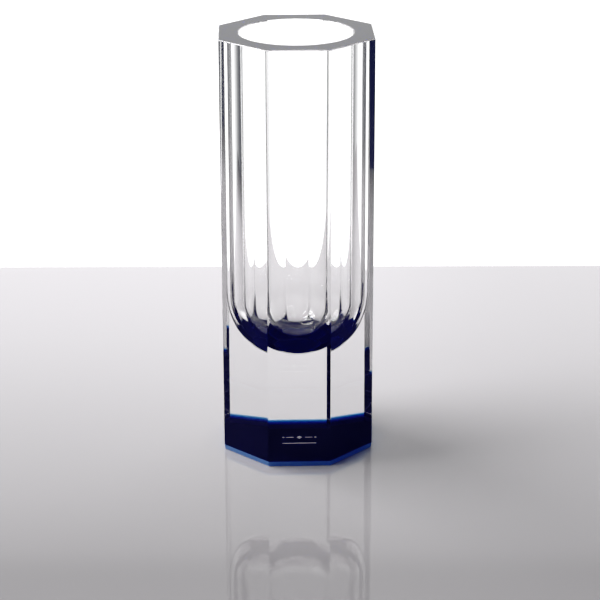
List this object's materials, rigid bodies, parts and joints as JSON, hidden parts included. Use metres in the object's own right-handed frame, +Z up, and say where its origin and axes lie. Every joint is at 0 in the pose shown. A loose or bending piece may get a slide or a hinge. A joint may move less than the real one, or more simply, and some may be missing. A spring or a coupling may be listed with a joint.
{
  "type": "cut crystal vase",
  "caption": "Tall octagonal clear crystal vase with a round-bottomed bore, on a thin cobalt crystal foot; holds cut flowers or a single stem.",
  "frame": {"origin": "centre of the underside, on the surface that the vase stands on", "axes": "+Z up along the bore, -Y out of the front facet, +X out of the facet at the right seen from the front"},
  "size_m": [0.08, 0.08, 0.227],
  "materials": {
    "clear_crystal": "clear crystal, every facet ground flat and polished, sharp edges lightly bevelled",
    "clear_bond": "clear cured bond matched to the crystal, invisible when clean",
    "cobalt_crystal": "deep cobalt blue crystal, ground flat and polished, nearly black through its width, with a satin ground bevel round the underside"
  },
  "bodies": {
    "root": {"crystal_body": "clear_crystal", "bond_film": "clear_bond", "cobalt_base": "cobalt_crystal"}
  },
  "joints": []
}
